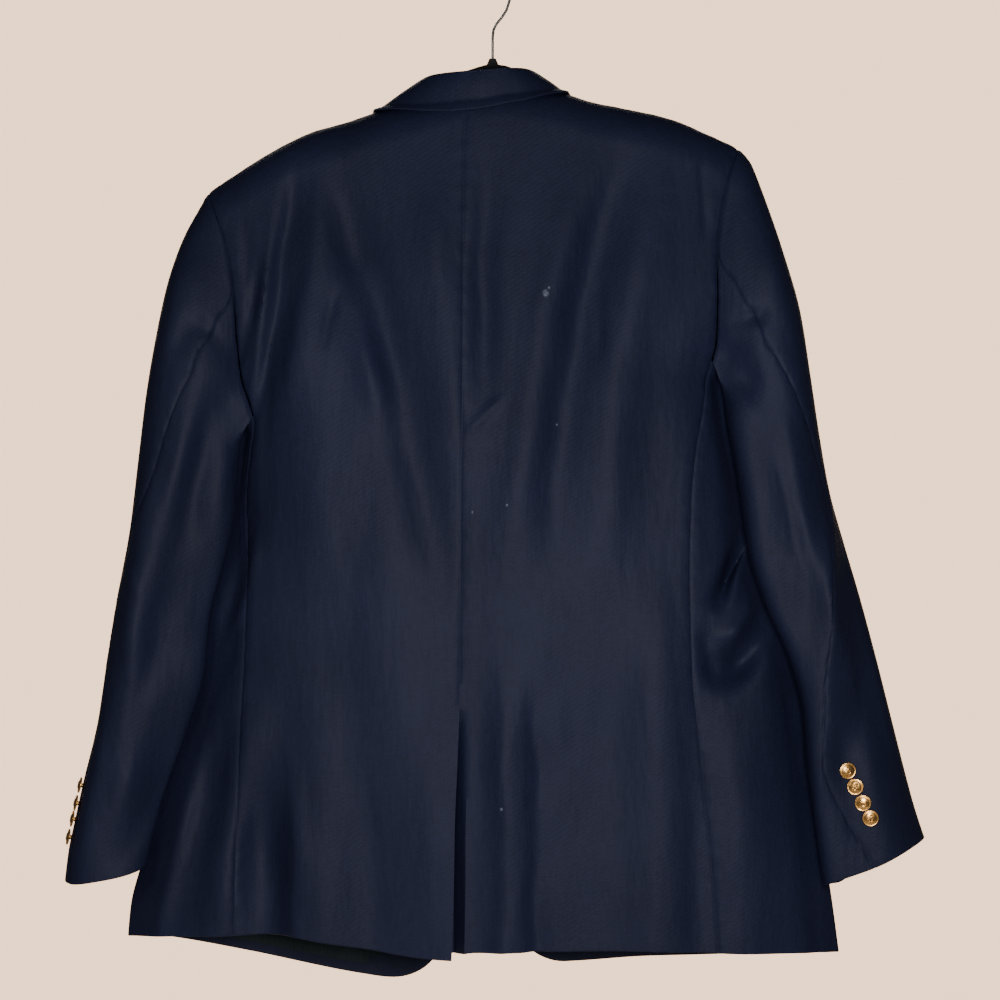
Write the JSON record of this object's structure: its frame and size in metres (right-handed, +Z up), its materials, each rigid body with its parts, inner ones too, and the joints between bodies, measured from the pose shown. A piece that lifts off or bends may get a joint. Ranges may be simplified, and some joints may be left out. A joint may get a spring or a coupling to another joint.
{
  "type": "blazer on a slim clothes hanger",
  "caption": "Navy tailored blazer with gold shank buttons, centre back vent and open fronts, hanging on a slim flocked hanger with a wire hook.",
  "frame": {"origin": "where the hook's ring bears on the rod or peg that holds it: the top of the ring's inside", "axes": "+Z up; the blazer's back faces -Y and its open fronts face +Y; the wearer's left is at -X"},
  "size_m": [0.7913, 0.1208, 0.9378],
  "materials": {
    "wool": "fine matt worsted twill",
    "lining": "smooth satin",
    "gold": "polished gold plate",
    "flock": "flocked",
    "wire": "polished wire"
  },
  "bodies": {
    "root": {"back_left": "wool", "back_right": "wool", "side_left": "wool", "side_right": "wool", "front_left": "wool", "front_right": "wool", "sleeve_left_upper": "wool", "sleeve_left_under": "wool", "sleeve_right_upper": "wool", "sleeve_right_under": "wool", "collar": "wool", "collar_stand": "wool", "lapel_left": "wool", "lapel_right": "wool", "breast_welt": "wool", "pocket_flap_left": "wool", "pocket_flap_right": "wool", "lining_left": "lining", "cuff_button_left_1": "gold", "cuff_button_left_2": "gold", "cuff_button_left_3": "gold", "cuff_button_left_4": "gold", "cuff_button_right_1": "gold", "cuff_button_right_2": "gold", "cuff_button_right_3": "gold", "cuff_button_right_4": "gold", "front_button_1": "gold", "front_button_2": "gold", "hanger": "flock", "hook": "wire"}
  },
  "joints": []
}
